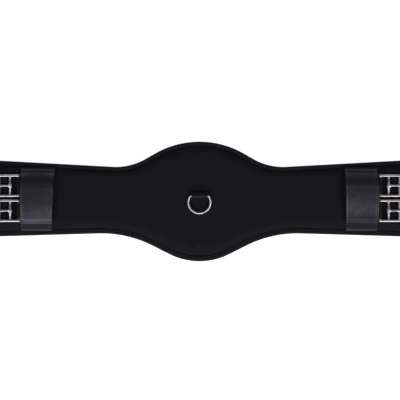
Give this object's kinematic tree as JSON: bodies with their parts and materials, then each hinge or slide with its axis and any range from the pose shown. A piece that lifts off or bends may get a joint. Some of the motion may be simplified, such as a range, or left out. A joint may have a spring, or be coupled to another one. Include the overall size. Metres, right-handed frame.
{
  "type": "saddle girth",
  "caption": "Short padded dressage girth with a belly plate, elastic end straps under keeper bands, roller buckles on both ends and a centre dee ring",
  "frame": {"origin": "on the lining, under the middle of the outline's box", "axes": "+X along the girth to its right end, -Y towards the front edge, where the belly plate bulges more, +Z out of the outer face"},
  "size_m": [0.65, 0.1791, 0.0221],
  "materials": {
    "face": "matte",
    "binding": "matte",
    "lining": "satin",
    "foam": "matte",
    "webbing": "matte",
    "elastic": "matte",
    "keeper": "satin",
    "strap": "satin",
    "steel": "polished"
  },
  "bodies": {
    "girth": {"lining": "lining", "foam_core": "foam", "face_cover": "face", "edge_binding": "binding", "load_webbing_front": "webbing", "load_webbing_rear": "webbing", "dee_tab": "strap", "left_keeper": "keeper", "right_keeper": "keeper", "left_front_elastic": "elastic", "left_rear_elastic": "elastic", "right_front_elastic": "elastic", "right_rear_elastic": "elastic"},
    "dee": {"dee_ring": "steel"},
    "left_front_chape": {"left_front_chape": "strap"},
    "left_front_buckle": {"left_front_frame": "steel"},
    "left_front_tongue": {"left_front_tongue": "steel"},
    "left_front_roller": {"left_front_roller": "steel"},
    "left_rear_chape": {"left_rear_chape": "strap"},
    "left_rear_buckle": {"left_rear_frame": "steel"},
    "left_rear_tongue": {"left_rear_tongue": "steel"},
    "left_rear_roller": {"left_rear_roller": "steel"},
    "right_front_chape": {"right_front_chape": "strap"},
    "right_front_buckle": {"right_front_frame": "steel"},
    "right_front_tongue": {"right_front_tongue": "steel"},
    "right_front_roller": {"right_front_roller": "steel"},
    "right_rear_chape": {"right_rear_chape": "strap"},
    "right_rear_buckle": {"right_rear_frame": "steel"},
    "right_rear_tongue": {"right_rear_tongue": "steel"},
    "right_rear_roller": {"right_rear_roller": "steel"}
  },
  "joints": [
    {"name": "left_front_stretch", "type": "slide", "parent": "girth", "child": "left_front_chape", "axis": [-1, 0, 0], "range_m": [0, 0.014], "stiffness_N_per_m": 2000, "deforming": ["left_front_elastic"]},
    {"name": "left_front_lift", "type": "hinge", "parent": "left_front_chape", "child": "left_front_buckle", "pos_m": [-0.2707, -0.01367, 0.0128], "axis": [0, 1, 0], "range_deg": [0, 75]},
    {"name": "left_front_tongue_swing", "type": "hinge", "parent": "left_front_buckle", "child": "left_front_tongue", "pos_m": [-0.2835, -0.01367, 0.0125], "axis": [0, 1, 0], "range_deg": [0, 95]},
    {"name": "left_front_roller_spin", "type": "hinge", "parent": "left_front_buckle", "child": "left_front_roller", "pos_m": [-0.30049, -0.01367, 0.0121], "axis": [0, 1, 0], "continuous": true},
    {"name": "left_rear_stretch", "type": "slide", "parent": "girth", "child": "left_rear_chape", "axis": [-1, 0, 0], "range_m": [0, 0.014], "stiffness_N_per_m": 2000, "deforming": ["left_rear_elastic"]},
    {"name": "left_rear_lift", "type": "hinge", "parent": "left_rear_chape", "child": "left_rear_buckle", "pos_m": [-0.2707, 0.02373, 0.0128], "axis": [0, 1, 0], "range_deg": [0, 75]},
    {"name": "left_rear_tongue_swing", "type": "hinge", "parent": "left_rear_buckle", "child": "left_rear_tongue", "pos_m": [-0.2835, 0.02373, 0.0125], "axis": [0, 1, 0], "range_deg": [0, 95]},
    {"name": "left_rear_roller_spin", "type": "hinge", "parent": "left_rear_buckle", "child": "left_rear_roller", "pos_m": [-0.30049, 0.02373, 0.0121], "axis": [0, 1, 0], "continuous": true},
    {"name": "right_front_stretch", "type": "slide", "parent": "girth", "child": "right_front_chape", "axis": [1, 0, 0], "range_m": [0, 0.014], "stiffness_N_per_m": 2000, "deforming": ["right_front_elastic"]},
    {"name": "right_front_lift", "type": "hinge", "parent": "right_front_chape", "child": "right_front_buckle", "pos_m": [0.2707, -0.01367, 0.0128], "axis": [0, -1, 0], "range_deg": [0, 75]},
    {"name": "right_front_tongue_swing", "type": "hinge", "parent": "right_front_buckle", "child": "right_front_tongue", "pos_m": [0.2835, -0.01367, 0.0125], "axis": [0, -1, 0], "range_deg": [0, 95]},
    {"name": "right_front_roller_spin", "type": "hinge", "parent": "right_front_buckle", "child": "right_front_roller", "pos_m": [0.30049, -0.01367, 0.0121], "axis": [0, 1, 0], "continuous": true},
    {"name": "right_rear_stretch", "type": "slide", "parent": "girth", "child": "right_rear_chape", "axis": [1, 0, 0], "range_m": [0, 0.014], "stiffness_N_per_m": 2000, "deforming": ["right_rear_elastic"]},
    {"name": "right_rear_lift", "type": "hinge", "parent": "right_rear_chape", "child": "right_rear_buckle", "pos_m": [0.2707, 0.02373, 0.0128], "axis": [0, -1, 0], "range_deg": [0, 75]},
    {"name": "right_rear_tongue_swing", "type": "hinge", "parent": "right_rear_buckle", "child": "right_rear_tongue", "pos_m": [0.2835, 0.02373, 0.0125], "axis": [0, -1, 0], "range_deg": [0, 95]},
    {"name": "right_rear_roller_spin", "type": "hinge", "parent": "right_rear_buckle", "child": "right_rear_roller", "pos_m": [0.30049, 0.02373, 0.0121], "axis": [0, 1, 0], "continuous": true},
    {"name": "dee_swing", "type": "hinge", "parent": "girth", "child": "dee", "pos_m": [0, 0.00803, 0.0123], "axis": [-1, 0, 0], "range_deg": [0, 170]}
  ]
}
